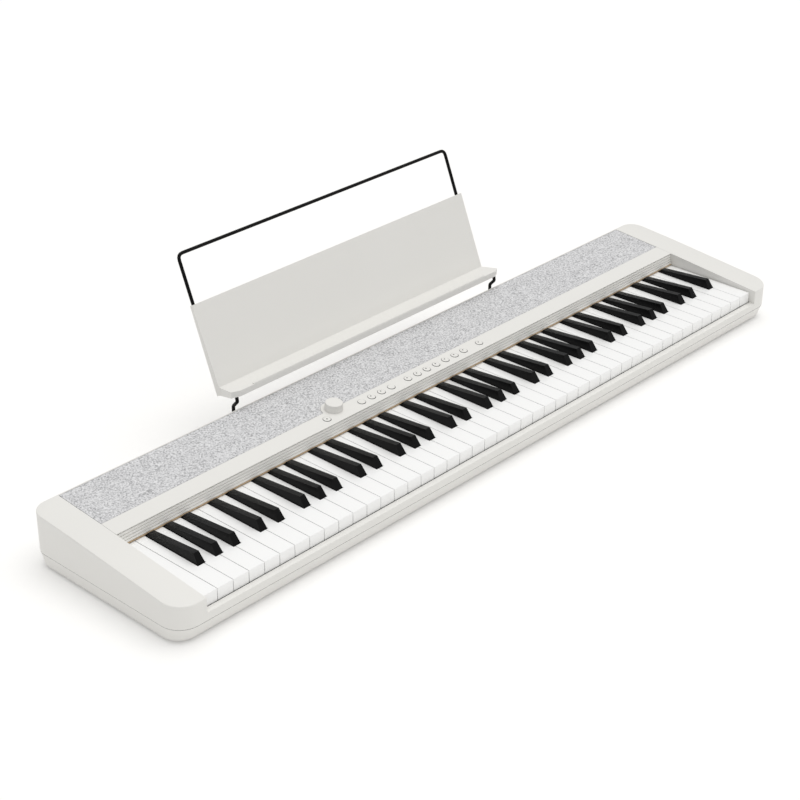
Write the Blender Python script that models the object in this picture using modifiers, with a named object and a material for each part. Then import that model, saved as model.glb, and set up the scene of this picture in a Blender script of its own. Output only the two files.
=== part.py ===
"""Slim portable digital piano: 76 keys, cloth-covered speakers and a lift-off music rest.

Units are metres, +Z up, +X towards the treble end and +Y towards the back.  Heights below are
measured from the lower edge of the case and depths from the front face of the white keys; one
empty, piano_frame, carries that corner to its place, so that the origin is on the floor under
the middle of the whole instrument.
"""
import math

import bmesh
import bpy
from mathutils import Matrix, Vector

for old in list(bpy.data.objects):
    bpy.data.objects.remove(old, do_unlink=True)

MM = 0.001

# Keys
WHITE_PITCH = 23.6 * MM
WHITE_GAP = 1.0 * MM
WHITE_FRONT_HEIGHT = 15.7 * MM
WHITE_TOP = 42.7 * MM
KEY_BODY_LENGTH = 163.0 * MM
KEY_WALL = 1.8 * MM
BLACK_WIDTH = 11.0 * MM
BLACK_FRONT = 48.7 * MM
BLACK_SLOPE_LENGTH = 7.9 * MM
BLACK_RISE = 12.0 * MM
BLACK_REAR_RISE = 4.4 * MM
BLACK_TO_FELT = 2.9 * MM
BLACK_TAPER = 1.5 * MM
BLACK_DEPTH_BELOW = 8.7 * MM
BLACK_TAIL_BELOW = 0.4 * MM
BLACK_SIDE_CLEARANCE = 0.7 * MM
BLACK_FRONT_CLEARANCE = 1.2 * MM
KEY_SIDE_CLEARANCE = 0.5 * MM
NECK_WIDTH = 7.0 * MM
NECK_LENGTH = 9.0 * MM
BAR_DEPTH = 10.0 * MM
BAR_THICKNESS = 3.0 * MM
BAR_GAP = 1.5 * MM
GROUPS = ("EFGAB", "CDEFGAB", "CDEFGAB", "CDEFGAB", "CDEFGAB", "CDEFGAB", "CDEFG")
FIRST_COMB = "CEGB"
BLACK_AFTER = {"C": -2.2 * MM, "D": 2.2 * MM, "F": -3.3 * MM, "G": 0.0, "A": 3.3 * MM}

# Case
CHEEK_WIDTH = 41.5 * MM
FRONT_RAIL = 10.0 * MM
CASE_DEPTH = 256.0 * MM
CHEEK_HEIGHT = 47.8 * MM
STRIP_SLOPE = 0.0962
GRILLE_SLOPE = 0.0763
LEDGE_HEIGHT = 27.3 * MM
RAIL_TO_KEYS = 1.2 * MM
SEAM_HEIGHT = 17.4 * MM
FRONT_CORNER = 28.0 * MM
REAR_CORNER = 22.0 * MM
EDGE_ROUND = 1.6 * MM
WALL = 2.6 * MM
LOWER_SIDE_TAPER = 3.0 * MM
LOWER_END_TAPER = 6.6 * MM
FOOT_HEIGHT = 3.5 * MM
FOOT_RADIUS = 9.0 * MM
FOOT_SEAT = 1.0 * MM
FOOT_INSET = (72.0 * MM, 30.0 * MM)
GAP = 0.35 * MM

# Panel strip, ribs and felt
STRIP_FRONT = 140.8 * MM
STRIP_DEPTH = 26.6 * MM
STRIP_THICKNESS = 2.5 * MM
STRIP_LIP = 0.9 * MM
RIB_COUNT = 4
RIB_GROOVE = 1.1 * MM
RIB_DEPTH = 1.5 * MM
RIB_LEAN = 1.9 * MM
RIB_BACKING = 2.4 * MM
FELT_HEIGHT = 1.3 * MM
FELT_OVER_KEYS = 0.9 * MM
FELT_DEPTH = 4.0 * MM

# Controls on the strip
BUTTON_RADIUS = 5.3 * MM
BUTTON_PROUD = 0.7 * MM
BUTTON_TRAVEL = 1.0 * MM
BUTTON_FLANGE = 1.1 * MM
BUTTON_CLEARANCE = 0.35 * MM
BUTTON_PITCH = 18.3 * MM
BUTTON_DEPTH = 13.4 * MM
POWER_X = -182.4 * MM
SOUND_ROW_X = -120.0 * MM
SOUND_ROW_COUNT = 4
SELECT_ROW_X = -33.4 * MM
SELECT_ROW_COUNT = 7
SONG_BUTTON_X = 108.4 * MM
DIAL_X = -158.9 * MM
DIAL_DEPTH = 24.9 * MM
DIAL_RADIUS = 11.9 * MM
DIAL_HEIGHT = 10.2 * MM
DIAL_TAPER = 0.5 * MM
COLLAR_RADIUS = 16.8 * MM
SHAFT_RADIUS = 2.8 * MM
SHAFT_CLEARANCE = 0.3 * MM

# Inside
BOARD_THICKNESS = 1.6 * MM
GRILLE_THICKNESS = 2.0 * MM
CLOTH_THICKNESS = 0.9 * MM
SPEAKER_SIZE = (118.0 * MM, 51.0 * MM)
SPEAKER_FROM_END = 141.5 * MM
SPEAKER_DEPTH = 37.0 * MM
MAGNET_RADIUS = 20.0 * MM
CHASSIS_FLOOR = 2.5 * MM
PEDESTAL_DEPTH = 16.0 * MM
BAY_SIZE = (104.0 * MM, 41.0 * MM, 17.5 * MM)
BAY_X = 172.0 * MM
BAY_WALL = 2.0 * MM
DOOR_THICKNESS = 2.0 * MM
DOOR_LAP = 2.0 * MM
DOOR_TRAVEL = 10.0 * MM
JACK_BLOCK = (140.0 * MM, 23.0 * MM, 18.0 * MM)
JACK_BLOCK_X = -120.0 * MM
JACK_BLOCK_BOTTOM = 24.0 * MM
JACK_BORE_DEPTH = 18.0 * MM
JACKS = ((-172.0 * MM, 3.0 * MM), (-147.0 * MM, 3.3 * MM), (-121.0 * MM, 3.3 * MM), (-96.0 * MM, 1.9 * MM))
USB_X = -71.0 * MM
USB_SIZE = (9.0 * MM, 8.0 * MM)

# Music rest; each pair is a place as (behind, above) the upper rear edge of the case
WIRE_RADIUS = 2.3 * MM
WIRE_CLEARANCE = 0.4 * MM
WIRE_HALF_WIDTH = 248.1 * MM
WIRE_TOP = (100.0 * MM, 179.7 * MM)
WIRE_SLOPE = 0.405
WIRE_BEND = 8.0 * MM
HEEL_BEND = 6.0 * MM
SHELF_BEND = 5.0 * MM
CRANK_BEND = 1.8 * MM
CRANK_RISE = 8.7 * MM
LEG_BEHIND_CASE = 8.5 * MM
LEG_FORWARD = 7.9 * MM
LEG_LEAN = 1.7 * MM
SOCKET_SIZE = (18.0 * MM, 14.4 * MM, 22.0 * MM)
SOCKET_BELOW = 17.9 * MM
SOCKET_BORE_DEPTH = 18.0 * MM
REST_FOOT_SECTION = (252.6 * MM, 254.6 * MM, 6.5 * MM)
REST_TOP_SECTION = (253.8 * MM, 254.6 * MM, 3.0 * MM)
REST_FOOT = (29.0 * MM, 20.4 * MM)
REST_TOP = (71.2 * MM, 121.0 * MM)
REST_SHEET = 1.6 * MM
REST_RIM_WIDTH = 1.7 * MM
REST_ROOT = 10.5 * MM
SHELF_FRONT = (-3.4 * MM, 25.4 * MM)
SHELF_THICKNESS = (8.0 * MM, 11.5 * MM)
SHELF_SKIN = 2.4 * MM
SHELF_FRONT_HALF = 245.0 * MM
SHELF_SIDE = (256.0 * MM, 2.8 * MM)
SHELF_REAR_LAP = 0.2 * MM
SHELF_LIP = (222.0 * MM, 3.0 * MM, 1.2 * MM)
SHELF_LIP_INSET = 0.6 * MM

# Places that follow from the sizes above
WHITE_COUNT = sum(len(letters) for letters in GROUPS)
OPENING_HALF = WHITE_COUNT * WHITE_PITCH / 2 + KEY_SIDE_CLEARANCE
CASE_HALF = OPENING_HALF + CHEEK_WIDTH
CASE_FRONT = -FRONT_RAIL
CASE_REAR = CASE_FRONT + CASE_DEPTH
GRILLE_FRONT = STRIP_FRONT + STRIP_DEPTH
HINGE_Y = KEY_BODY_LENGTH + NECK_LENGTH + BAR_DEPTH / 2 - GAP
BAR_BOTTOM = WHITE_TOP - 12.7 * MM
HINGE_Z = BAR_BOTTOM + 1.5 * BAR_THICKNESS + BAR_GAP
PEDESTAL_REAR = HINGE_Y + PEDESTAL_DEPTH / 2
CAVITY_REAR = CASE_REAR - WALL
SLOPE_ANGLE = math.atan(STRIP_SLOPE)
LEG_Y = CASE_REAR + LEG_BEHIND_CASE
FRAME_Y = -(CASE_FRONT + CASE_REAR + WIRE_TOP[0] + WIRE_RADIUS) / 2


def top_height(y):
    """Height of the case's upper surface: one slope over keys and strip, a flatter one behind."""
    if y <= GRILLE_FRONT:
        return CHEEK_HEIGHT + STRIP_SLOPE * y
    return CHEEK_HEIGHT + STRIP_SLOPE * GRILLE_FRONT + GRILLE_SLOPE * (y - GRILLE_FRONT)


def from_rear(place):
    """The (y, z) of a place given as (behind, above) the upper rear edge of the case."""
    return CASE_REAR + place[0], top_height(CASE_REAR) + place[1]


SOCKET_TOP = from_rear((0.0, -SOCKET_BELOW))[1]


# ---------------------------------------------------------------- making and joining solids

piano = bpy.data.collections.new("digital_piano")
tools = bpy.data.collections.new("cutters")
bpy.context.scene.collection.children.link(piano)
bpy.context.scene.collection.children.link(tools)
frame = bpy.data.objects.new("piano_frame", None)
frame.location = (0.0, FRAME_Y, FOOT_HEIGHT)
piano.objects.link(frame)
materials = {}


def material(name, color, roughness, metallic=0.0):
    """One Principled material for each kind of stuff."""
    if name not in materials:
        made = bpy.data.materials.new(name)
        made.use_nodes = True
        shader = made.node_tree.nodes["Principled BSDF"]
        shader.inputs["Base Color"].default_value = (*color, 1.0)
        shader.inputs["Roughness"].default_value = roughness
        shader.inputs["Metallic"].default_value = metallic
        materials[name] = made
    return materials[name]


def case_plastic():
    return material("case_plastic", (0.78, 0.77, 0.73), 0.45)


def board_laminate():
    return material("board_laminate", (0.10, 0.28, 0.14), 0.55)


def black_plastic():
    return material("black_plastic", (0.03, 0.03, 0.032), 0.4)


def solid(name, mesh_cage):
    """Turns a bmesh into an object beside the cutters, ready to be cut or kept."""
    bmesh.ops.recalc_face_normals(mesh_cage, faces=mesh_cage.faces)
    mesh = bpy.data.meshes.new(name)
    mesh_cage.to_mesh(mesh)
    mesh_cage.free()
    made = bpy.data.objects.new(name, mesh)
    made.hide_render = True
    made.display_type = "WIRE"
    tools.objects.link(made)
    return made


def block(name, low, high):
    """A box between two corners."""
    cage = bmesh.new()
    bmesh.ops.create_cube(cage, size=1.0)
    size = Vector(high) - Vector(low)
    bmesh.ops.scale(cage, vec=size, verts=cage.verts)
    bmesh.ops.translate(cage, vec=Vector(low) + size / 2, verts=cage.verts)
    return solid(name, cage)


def extruded(name, outline, axis, low, high):
    """A flat outline pushed along X, taking (y, z) points, or along Z, taking (x, y) points."""
    cage = bmesh.new()
    corners = [(low, a, b) if axis == "X" else (a, b, low) for a, b in outline]
    face = cage.faces.new([cage.verts.new(corner) for corner in corners])
    grown = bmesh.ops.extrude_face_region(cage, geom=[face])
    moved = [part for part in grown["geom"] if isinstance(part, bmesh.types.BMVert)]
    push = (high - low, 0.0, 0.0) if axis == "X" else (0.0, 0.0, high - low)
    bmesh.ops.translate(cage, vec=push, verts=moved)
    return solid(name, cage)


def loft(name, outline_low, low, outline_high, high):
    """A solid between two outlines with the same number of points, one above the other."""
    cage = bmesh.new()
    rings = []
    for outline, height in ((outline_low, low), (outline_high, high)):
        face = cage.faces.new([cage.verts.new((x, y, height)) for x, y in outline])
        rings.extend(face.edges)
    bmesh.ops.bridge_loops(cage, edges=rings)
    return solid(name, cage)


def turned(name, profile, segments):
    """A profile of (radius, height) points, from axis to axis, spun about Z."""
    cage = bmesh.new()
    points = [cage.verts.new((radius, 0.0, height)) for radius, height in profile]
    edges = [cage.edges.new(pair) for pair in zip(points, points[1:])]
    bmesh.ops.spin(cage, geom=points + edges, cent=(0, 0, 0), axis=(0, 0, 1), angle=math.tau,
                   steps=segments, use_merge=True)
    bmesh.ops.remove_doubles(cage, verts=cage.verts, dist=0.01 * MM)
    return solid(name, cage)


def cylinder(name, radius, low, high, segments=24):
    """A round bar along Z."""
    return turned(name, [(0, low), (radius, low), (radius, high), (0, high)], segments)


def place(made, location, tilt=0.0, turn="X"):
    """Puts a solid, and its mesh with it, at a place in the piano's frame."""
    made.data.transform(Matrix.Translation(location) @ Matrix.Rotation(tilt, 4, turn))
    return made


def merged(name, pieces):
    """Several solids as one object; they stay separate bodies."""
    cage = bmesh.new()
    for piece in pieces:
        cage.from_mesh(piece.data)
        bpy.data.objects.remove(piece)
    return solid(name, cage)


def carve(body, tool, operation="DIFFERENCE", self_overlap=False):
    """Applies one exact Boolean and drops the tool."""
    step = body.modifiers.new("shape", "BOOLEAN")
    step.solver = "EXACT"
    step.operation = operation
    step.use_self = self_overlap
    step.object = tool
    graph = bpy.context.evaluated_depsgraph_get()
    shaped = bpy.data.meshes.new_from_object(body.evaluated_get(graph))
    body.modifiers.clear()
    body.data = shaped
    bpy.data.objects.remove(tool)
    return body


def cut(body, *pieces):
    """Takes each piece away from the body."""
    for piece in pieces:
        carve(body, piece)
    return body


def grow(body, *pieces):
    """Adds each overlapping piece to the body."""
    for piece in pieces:
        carve(body, piece, "UNION")
    return body


def node(made, stuff, origin=(0.0, 0.0, 0.0), smooth=False):
    """Keeps a solid as a part of the piano, with its origin where it turns or slides."""
    made.data.transform(Matrix.Translation(-Vector(origin)))
    made.data.materials.clear()
    made.data.materials.append(stuff)
    tools.objects.unlink(made)
    piano.objects.link(made)
    made.hide_render = False
    made.display_type = "TEXTURED"
    made.parent = frame
    made.location = origin
    if smooth:
        made.data.shade_smooth()
        made.data.set_sharp_from_angle(angle=math.radians(35))
    return made


def case_outline(side_inset=0.0, end_inset=0.0, steps=8):
    """The case from above, with round corners, pulled in at its sides and at front and back."""
    half = CASE_HALF - side_inset
    front = CASE_FRONT + end_inset
    rear = CASE_REAR - end_inset
    inset = (side_inset + end_inset) / 2
    near = FRONT_CORNER - inset
    far = REAR_CORNER - inset
    corners = ((half - near, front + near, near, -90), (half - far, rear - far, far, 0),
               (far - half, rear - far, far, 90), (near - half, front + near, near, 180))
    outline = []
    for x, y, radius, start in corners:
        for step in range(steps + 1):
            angle = math.radians(start + 90 * step / steps)
            outline.append((x + radius * math.cos(angle), y + radius * math.sin(angle)))
    return outline


def top_profile(front, rear, drop):
    """The upper surface from the side, lowered by drop, as (y, z) points from front to rear."""
    return [(y, top_height(y) - drop) for y in (front, GRILLE_FRONT, rear)]


def under_surface(name, front, rear, drop, thickness, half):
    """A sheet that follows the upper surface behind the strip, drop below it."""
    upper = [(y, top_height(y) - drop) for y in (front, rear)]
    lower = [(y, z - thickness) for y, z in reversed(upper)]
    return extruded(name, upper + lower, "X", -half, half)


def on_strip(x, depth):
    """A point on the strip's surface, depth behind its front edge."""
    y = STRIP_FRONT + depth
    return Vector((x, y, top_height(y)))


# ---------------------------------------------------------------- case

def case_block(name, inset, drop, bottom):
    """The closed body of the case above a given height, inset all round."""
    far = 40 * MM
    body = extruded(name, case_outline(inset, inset), "Z", bottom, 120 * MM)
    roof = top_profile(CASE_FRONT - far, CASE_REAR + far, drop)
    lid = extruded("lid", roof + [(CASE_REAR + far, 0.2), (CASE_FRONT - far, 0.2)], "X", -1.0, 1.0)
    return cut(body, lid)


def upper_case():
    """One moulding: two hollow cheeks joined by the key slip in front and by the back wall."""
    body = case_block("upper_case", 0.0, 0.0, SEAM_HEIGHT - 10 * MM)
    edge = body.modifiers.new("edge", "BEVEL")
    edge.width = EDGE_ROUND
    edge.segments = 3
    edge.limit_method = "ANGLE"
    edge.angle_limit = math.radians(40)
    cut(body, block("below", (-1, -1, -0.1), (1, 1, SEAM_HEIGHT)))

    cheeks = case_block("cheek_hollow", WALL, WALL, 0.0)
    inner = OPENING_HALF + WALL
    cut(cheeks, block("middle", (-inner, -1, -0.1), (inner, 1, 0.2)))
    cut(body, cheeks)
    opening = block("opening", (-OPENING_HALF, -RAIL_TO_KEYS, 0), (OPENING_HALF, CAVITY_REAR, 0.2))
    over_slip = block("over_slip", (-OPENING_HALF, CASE_FRONT - 0.01, LEDGE_HEIGHT),
                      (OPENING_HALF, -RAIL_TO_KEYS / 2, 0.2))
    slip_hollow = block("slip_hollow", (-OPENING_HALF, CASE_FRONT + WALL, 0),
                        (OPENING_HALF, -RAIL_TO_KEYS - WALL, LEDGE_HEIGHT - WALL))
    cut(body, opening, over_slip, slip_hollow)

    low = JACK_BLOCK_X - JACK_BLOCK[0] / 2 - GAP
    window = block("window", (low, CAVITY_REAR - 0.01, JACK_BLOCK_BOTTOM - GAP),
                   (low + JACK_BLOCK[0] + 2 * GAP, CASE_REAR + 0.01, JACK_BLOCK_BOTTOM + JACK_BLOCK[2] + GAP))
    cut(body, window)
    return node(body, case_plastic(), smooth=True)


def foot_places():
    """Centres of the four feet."""
    x = CASE_HALF - FOOT_INSET[0]
    front = CASE_FRONT + FOOT_INSET[1]
    rear = CASE_REAR - FOOT_INSET[1]
    return (("left_front", -x, front), ("right_front", x, front), ("left_rear", -x, rear), ("right_rear", x, rear))


def bay_corner():
    """The battery bay's corner with the lowest x and y."""
    return BAY_X - BAY_SIZE[0] / 2, PEDESTAL_REAR + DOOR_LAP + BAY_WALL + 1.5 * MM


def lower_case():
    """A tray that tapers in towards the floor, with a battery bay and seats for the feet."""
    rim = SEAM_HEIGHT - GAP
    body = loft("lower_case", case_outline(LOWER_SIDE_TAPER, LOWER_END_TAPER), 0.0, case_outline(GAP, GAP), rim)
    hollow = loft("hollow", case_outline(LOWER_SIDE_TAPER + WALL, LOWER_END_TAPER + WALL), WALL,
                  case_outline(GAP + WALL, GAP + WALL), rim + 1 * MM)
    cut(body, hollow)

    x, y = bay_corner()
    wide, deep, tall = BAY_SIZE
    shelf = DOOR_THICKNESS + 2 * GAP
    walls = block("bay_walls", (x - BAY_WALL, y - BAY_WALL, WALL / 2),
                  (x + wide + BAY_WALL, y + deep + BAY_WALL, tall + BAY_WALL))
    pad = block("door_pad", (x - DOOR_LAP - 2 * BAY_WALL, y - DOOR_LAP - BAY_WALL, WALL / 2),
                (x + wide + DOOR_LAP + DOOR_TRAVEL + 2 * BAY_WALL, y + deep + BAY_WALL, shelf + BAY_WALL))
    grow(body, walls, pad)
    bay = block("bay", (x, y, -0.01), (x + wide, y + deep, tall))
    seat = block("door_seat", (x - DOOR_LAP - GAP, y - DOOR_LAP / 2 - GAP, -0.01),
                 (x + wide + DOOR_LAP + DOOR_TRAVEL + 2 * GAP, y + deep + DOOR_LAP / 2 + GAP, shelf))
    cut(body, bay, seat)
    for name, foot_x, foot_y in foot_places():
        recess = cylinder("recess", FOOT_RADIUS + GAP, -0.01, FOOT_SEAT)
        cut(body, place(recess, (foot_x, foot_y, 0)))
    return node(body, case_plastic(), smooth=True)


def battery_door():
    """A flat lid that slides sideways off the bay."""
    x, y = bay_corner()
    low = (x - DOOR_LAP, y - DOOR_LAP / 2, GAP)
    high = (x + BAY_SIZE[0] + DOOR_LAP, y + BAY_SIZE[1] + DOOR_LAP / 2, GAP + DOOR_THICKNESS)
    door = block("battery_door", low, high)
    grips = 5
    for step in range(grips):
        groove_x = low[0] + 8 * MM + step * 3 * MM
        cut(door, block("grip", (groove_x, low[1] + 14 * MM, 0), (groove_x + 1.4 * MM, high[1] - 14 * MM, GAP + 0.6 * MM)))
    middle = (Vector(low) + Vector(high)) / 2
    return node(door, case_plastic(), origin=middle)


def feet():
    """Four rubber discs pressed into round seats."""
    rubber = material("rubber", (0.06, 0.06, 0.06), 0.85)
    for name, x, y in foot_places():
        profile = [(0, -FOOT_HEIGHT), (FOOT_RADIUS - 1 * MM, -FOOT_HEIGHT), (FOOT_RADIUS, 1 * MM - FOOT_HEIGHT),
                   (FOOT_RADIUS, FOOT_SEAT - GAP), (0, FOOT_SEAT - GAP)]
        foot = turned("foot_" + name, profile, 24)
        node(place(foot, (x, y, 0)), rubber, smooth=True)


# ---------------------------------------------------------------- keys

def white_span(index):
    """Left and right side of one white key's full-width front part."""
    left = (index - WHITE_COUNT / 2) * WHITE_PITCH + WHITE_GAP / 2
    return left, left + WHITE_PITCH - WHITE_GAP


def black_centre(index, letter):
    """Middle of the black key that follows white key number index."""
    return (index + 1 - WHITE_COUNT / 2) * WHITE_PITCH + BLACK_AFTER[letter]


def white_tail(index, letters, step):
    """Left and right side of a white key between its black neighbours."""
    left, right = white_span(index)
    slot = BLACK_WIDTH / 2 + BLACK_SIDE_CLEARANCE
    if step > 0 and letters[step - 1] in BLACK_AFTER:
        left = black_centre(index - 1, letters[step - 1]) + slot
    if step + 1 < len(letters) and letters[step] in BLACK_AFTER:
        right = black_centre(index, letters[step]) - slot
    return left, right


def bar_heights(level):
    """Bottom and top of one of the three stacked bars."""
    low = BAR_BOTTOM + level * (BAR_THICKNESS + BAR_GAP)
    return low, low + BAR_THICKNESS


def neck_and_bar(name, centres, span, level):
    """The rear bar of a comb, with a neck reaching forward to each of its keys."""
    low, high = bar_heights(level)
    bar = block(name, (span[0] + GAP, HINGE_Y - BAR_DEPTH / 2, low), (span[1] - GAP, HINGE_Y + BAR_DEPTH / 2, high))
    necks = [block("neck", (x - NECK_WIDTH / 2, KEY_BODY_LENGTH - KEY_WALL / 2, low + 0.2 * MM),
                   (x + NECK_WIDTH / 2, HINGE_Y, high - 0.2 * MM)) for x in centres]
    return bar, necks


def white_comb(name, start, letters, wanted, span, level):
    """White keys that share one rear bar, each a hollow moulding open below."""
    bottom = WHITE_TOP - WHITE_FRONT_HEIGHT
    shoulder = BLACK_FRONT - BLACK_FRONT_CLEARANCE
    fronts, tails, hollows, centres = [], [], [], []
    for step, letter in enumerate(letters):
        if letter not in wanted:
            continue
        left, right = white_span(start + step)
        tail_left, tail_right = white_tail(start + step, letters, step)
        fronts.append(block("front", (left, 0, bottom), (right, shoulder, WHITE_TOP)))
        tails.append(block("tail", (tail_left, shoulder - 5 * MM, bottom + 0.2 * MM),
                           (tail_right, KEY_BODY_LENGTH, WHITE_TOP)))
        hollows.append(block("hollow", (left + KEY_WALL, KEY_WALL, 0),
                             (right - KEY_WALL, shoulder - KEY_WALL, WHITE_TOP - KEY_WALL)))
        hollows.append(block("hollow", (tail_left + KEY_WALL, shoulder - KEY_WALL - 1 * MM, 0),
                             (tail_right - KEY_WALL, KEY_BODY_LENGTH - KEY_WALL, WHITE_TOP - KEY_WALL)))
        centres.append((tail_left + tail_right) / 2)
    bar, necks = neck_and_bar(name, centres, span, level)
    keys = fronts[0]
    for piece in fronts[1:] + tails:
        keys = grow(keys, piece) if piece in tails else merged("keys", [keys, piece])
    for hollow in hollows:
        cut(keys, hollow)
    body = grow(bar, *necks)
    grow(body, keys)
    return node(body, material("white_key", (0.86, 0.86, 0.84), 0.2), origin=(0, HINGE_Y, HINGE_Z))


def black_key(x):
    """One black key: a sloping front, a top that falls to the rear, leaning sides and a low tail."""
    top = WHITE_TOP + BLACK_RISE
    bottom = WHITE_TOP - BLACK_DEPTH_BELOW
    raised_end = STRIP_FRONT - RIB_LEAN - FELT_OVER_KEYS - BLACK_TO_FELT
    low_top = WHITE_TOP - BLACK_TAIL_BELOW
    outline = [(BLACK_FRONT, bottom), (BLACK_FRONT, WHITE_TOP + 0.3 * MM), (BLACK_FRONT + BLACK_SLOPE_LENGTH, top),
               (raised_end, WHITE_TOP + BLACK_REAR_RISE), (raised_end, low_top), (KEY_BODY_LENGTH, low_top),
               (KEY_BODY_LENGTH, bottom)]
    key = extruded("key", outline, "X", x - BLACK_WIDTH / 2, x + BLACK_WIDTH / 2)
    cage = bmesh.new()
    cage.from_mesh(key.data)
    bmesh.ops.bisect_plane(cage, geom=cage.verts[:] + cage.edges[:] + cage.faces[:], plane_co=(0, 0, low_top),
                           plane_no=(0, 0, 1), dist=0.001 * MM)
    for point in cage.verts:
        lean = BLACK_TAPER * max(0.0, point.co.z - low_top) / (top - low_top)
        point.co.x += lean if point.co.x < x else -lean
    cage.to_mesh(key.data)
    cage.free()
    return key


def black_comb(name, start, letters, span):
    """Black keys on the highest of the three rear bars, hollow below."""
    centres = [black_centre(start + step, letter) for step, letter in enumerate(letters)
               if letter in BLACK_AFTER and step + 1 < len(letters)]
    body, necks = neck_and_bar(name, centres, span, 2)
    grow(body, *necks)
    inside = BLACK_WIDTH / 2 - KEY_WALL - 0.2 * MM
    keys = merged("keys", [black_key(x) for x in centres])
    for x in centres:
        cut(keys, block("hollow", (x - inside, BLACK_FRONT + 2 * KEY_WALL, 0),
                        (x + inside, KEY_BODY_LENGTH - KEY_WALL, WHITE_TOP - 2 * KEY_WALL)))
    grow(body, keys)
    return node(body, material("black_key", (0.012, 0.012, 0.013), 0.35), origin=(0, HINGE_Y, HINGE_Z))


def keys():
    """Seven groups of keys, each of two white combs and a black one, stacked on one hinge line."""
    start = 0
    for number, letters in enumerate(GROUPS, 1):
        span = (white_span(start)[0], white_span(start + len(letters) - 1)[1])
        first = "".join(letter for letter in letters if letter in FIRST_COMB)
        second = "".join(letter for letter in letters if letter not in FIRST_COMB)
        for level, wanted in enumerate((first, second)):
            name = "octave_%d_%s_keys" % (number, wanted.lower())
            white_comb(name, start, letters, wanted, span, level)
        black_comb("octave_%d_black_keys" % number, start, letters, span)
        start += len(letters)


def key_chassis():
    """The moulded key bed: a floor, a hinge pedestal, a front stop and two board ribs."""
    half = OPENING_HALF - 7 * MM
    floor = WALL + GAP
    body = block("key_chassis", (-half, 4 * MM, floor), (half, PEDESTAL_REAR, floor + CHASSIS_FLOOR))
    grow(body, block("pedestal", (-half, HINGE_Y - PEDESTAL_DEPTH / 2, floor + 1 * MM),
                     (half, PEDESTAL_REAR, BAR_BOTTOM - 2 * MM)))
    grow(body, block("stop", (-half, 7 * MM, floor + 1 * MM), (half, 15 * MM, 13 * MM)))
    for y in contact_rib_places():
        grow(body, block("rib", (-half, y, floor + 1 * MM), (half, y + 3 * MM, 15 * MM)))
    return node(body, black_plastic())


def contact_rib_places():
    """Front sides of the two ribs under the contact board."""
    return 86 * MM, 124 * MM


def contact_board():
    """The strip of switches under the keys."""
    near, far = contact_rib_places()
    low = 15 * MM + GAP
    half = OPENING_HALF - 10 * MM
    board = block("key_contact_board", (-half, near - 2 * MM, low), (half, far + 5 * MM, low + BOARD_THICKNESS))
    return node(board, board_laminate())


# ---------------------------------------------------------------- strip, ribs, felt and controls

def button_places():
    """Name and x of every button, from left to right."""
    places = [("power_button", POWER_X)]
    number = 1
    for first, count in ((SOUND_ROW_X, SOUND_ROW_COUNT), (SELECT_ROW_X, SELECT_ROW_COUNT), (SONG_BUTTON_X, 1)):
        for step in range(count):
            places.append(("button_%02d" % number, first + step * BUTTON_PITCH))
            number += 1
    return places


def control_panel():
    """The strip between keys and speaker cloth, with a round collar under the volume dial."""
    half = OPENING_HALF - GAP
    rear = GRILLE_FRONT - GAP
    step = STRIP_FRONT + RIB_DEPTH + RIB_BACKING + GAP
    outline = [(STRIP_FRONT, 0), (rear, 0), (rear, STRIP_THICKNESS), (step, STRIP_THICKNESS),
               (step, STRIP_LIP), (STRIP_FRONT, STRIP_LIP)]
    surface = [(y, top_height(y) - depth) for y, depth in outline]
    body = extruded("control_panel", surface, "X", -half, half)
    collar = cylinder("collar", COLLAR_RADIUS, 0.05 * MM - STRIP_THICKNESS, -0.05 * MM, 48)
    grow(body, place(collar, on_strip(DIAL_X, DIAL_DEPTH), SLOPE_ANGLE))
    for name, x in button_places():
        hole = cylinder("hole", BUTTON_RADIUS + BUTTON_CLEARANCE, -2 * STRIP_THICKNESS, STRIP_THICKNESS)
        cut(body, place(hole, on_strip(x, BUTTON_DEPTH), SLOPE_ANGLE))
    hole = cylinder("hole", SHAFT_RADIUS + SHAFT_CLEARANCE, -2 * STRIP_THICKNESS, STRIP_THICKNESS)
    cut(body, place(hole, on_strip(DIAL_X, DIAL_DEPTH), SLOPE_ANGLE))
    return node(body, case_plastic(), smooth=True)


def rib_trim():
    """The ribbed face below the strip, leaning forward to the felt."""
    top = top_height(STRIP_FRONT) - STRIP_LIP - GAP
    bottom = WHITE_TOP + FELT_OVER_KEYS + FELT_HEIGHT + GAP
    pitch = (top - bottom) / RIB_COUNT
    front = []
    for rib in range(RIB_COUNT):
        upper = top - rib * pitch
        for height, depth in ((upper, RIB_DEPTH), (upper - RIB_GROOVE, RIB_DEPTH), (upper - RIB_GROOVE, 0),
                              (upper - pitch, 0)):
            lean = RIB_LEAN * (top - height) / (top - bottom)
            front.append((STRIP_FRONT - lean + depth, height))
    back = STRIP_FRONT + RIB_DEPTH + RIB_BACKING
    outline = front + [(back, bottom), (back, top)]
    body = extruded("rib_trim", outline, "X", GAP - OPENING_HALF, OPENING_HALF - GAP)
    return node(body, case_plastic())


def key_felt():
    """The strip of felt that hides the gap over the keys."""
    low = WHITE_TOP + FELT_OVER_KEYS
    front = STRIP_FRONT - RIB_LEAN - FELT_OVER_KEYS
    felt = block("key_felt", (GAP - OPENING_HALF, front, low), (OPENING_HALF - GAP, front + FELT_DEPTH, low + FELT_HEIGHT))
    return node(felt, material("felt", (0.62, 0.36, 0.20), 0.95))


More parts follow.
